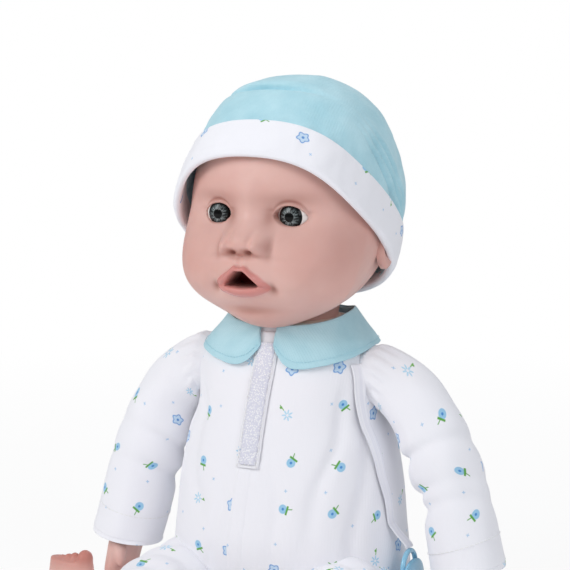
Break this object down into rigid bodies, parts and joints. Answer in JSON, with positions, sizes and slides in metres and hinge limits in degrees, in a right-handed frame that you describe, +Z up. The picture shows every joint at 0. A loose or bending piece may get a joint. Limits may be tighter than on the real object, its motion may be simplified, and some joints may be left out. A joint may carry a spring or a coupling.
{
  "type": "interactive baby doll",
  "caption": "Sitting baby doll with vinyl head, forearms and legs on a stuffed cloth body, romper, knitted hat, hanging pacifier and a press-to-talk module in its back pocket.",
  "frame": {"origin": "on the surface the doll sits on, below the middle of its trunk", "axes": "+Z up, -Y is the way the doll looks, +X is the doll's left"},
  "size_m": [0.26, 0.2259, 0.3331],
  "materials": {
    "vinyl_skin": "soft matte vinyl, skin-coloured",
    "doll_eye": "clear glossy plastic over a grey iris",
    "blue_jersey": "light blue cotton jersey",
    "print_cotton": "white cotton jersey with a small flower print",
    "body_cloth": "plain woven body cloth, polyester-filled",
    "hook_loop_tape": "white loop tape",
    "satin_ribbon": "white satin",
    "tie_nylon": "natural nylon",
    "case_plastic": "off-white moulded plastic",
    "button_plastic": "red moulded plastic",
    "steel": "plated steel",
    "cell_jacket": "printed metal jacket",
    "board_green": "green solder mask",
    "speaker_black": "black frame and cone",
    "pacifier_blue": "light blue gloss",
    "teat_soft": "soft translucent"
  },
  "bodies": {
    "torso": {"torso_body": "body_cloth", "pocket_flap": "body_cloth", "romper_body": "print_cotton", "neck_tie": "tie_nylon", "collar_right": "blue_jersey", "collar_left": "blue_jersey", "front_placket": "print_cotton", "hook_tape": "hook_loop_tape", "ribbon": "satin_ribbon", "module_front": "case_plastic", "module_back": "case_plastic", "battery_door": "case_plastic", "door_screw": "steel", "speaker": "speaker_black", "circuit_board": "board_green", "button_spring": "steel", "cell_upper": "cell_jacket", "cell_lower": "cell_jacket", "contact_right": "steel", "contact_left": "steel"},
    "head": {"head_shell": "vinyl_skin", "eye_right": "doll_eye", "eye_left": "doll_eye"},
    "hat": {"hat_crown": "blue_jersey", "hat_cuff": "print_cotton"},
    "arm_right": {"sleeve_right": "print_cotton", "upper_arm_right": "body_cloth", "forearm_right": "vinyl_skin", "arm_tie_right": "tie_nylon"},
    "arm_left": {"sleeve_left": "print_cotton", "upper_arm_left": "body_cloth", "forearm_left": "vinyl_skin", "arm_tie_left": "tie_nylon"},
    "leg_right": {"romper_leg_right": "print_cotton", "thigh_right": "body_cloth", "lower_leg_right": "vinyl_skin", "leg_tie_right": "tie_nylon"},
    "leg_left": {"romper_leg_left": "print_cotton", "thigh_left": "body_cloth", "lower_leg_left": "vinyl_skin", "leg_tie_left": "tie_nylon"},
    "button": {"push_button": "button_plastic"},
    "pacifier": {"pacifier_shield": "pacifier_blue", "pacifier_ring": "pacifier_blue", "pacifier_teat": "teat_soft"}
  },
  "joints": [
    {"name": "head_turn", "type": "hinge", "parent": "torso", "child": "head", "pos_m": [0, 0.004, 0.188], "axis": [0, 0, 1], "range_deg": [-70, 70]},
    {"name": "hat_lift", "type": "slide", "parent": "head", "child": "hat", "axis": [0, 0.6691, 0.7431], "range_m": [0, 0.12]},
    {"name": "arm_swing_right", "type": "hinge", "parent": "torso", "child": "arm_right", "pos_m": [-0.057, 0, 0.158], "axis": [-1, 0, 0], "range_deg": [-30, 90]},
    {"name": "arm_swing_left", "type": "hinge", "parent": "torso", "child": "arm_left", "pos_m": [0.057, 0, 0.158], "axis": [-1, 0, 0], "range_deg": [-30, 90]},
    {"name": "leg_swing_right", "type": "hinge", "parent": "torso", "child": "leg_right", "pos_m": [-0.042, -0.004, 0.0305], "axis": [1, 0, 0], "range_deg": [0, 90]},
    {"name": "leg_swing_left", "type": "hinge", "parent": "torso", "child": "leg_left", "pos_m": [0.042, -0.004, 0.0305], "axis": [1, 0, 0], "range_deg": [0, 90]},
    {"name": "button_press", "type": "slide", "parent": "torso", "child": "button", "axis": [0, 1, 0], "range_m": [0, 0.002], "stiffness_N_per_m": 300, "deforming": ["button_spring"]},
    {"name": "pacifier_swing", "type": "hinge", "parent": "torso", "child": "pacifier", "pos_m": [0.0815, -0.0125, 0.0465], "axis": [1, 0, 0], "range_deg": [-60, 60]}
  ]
}
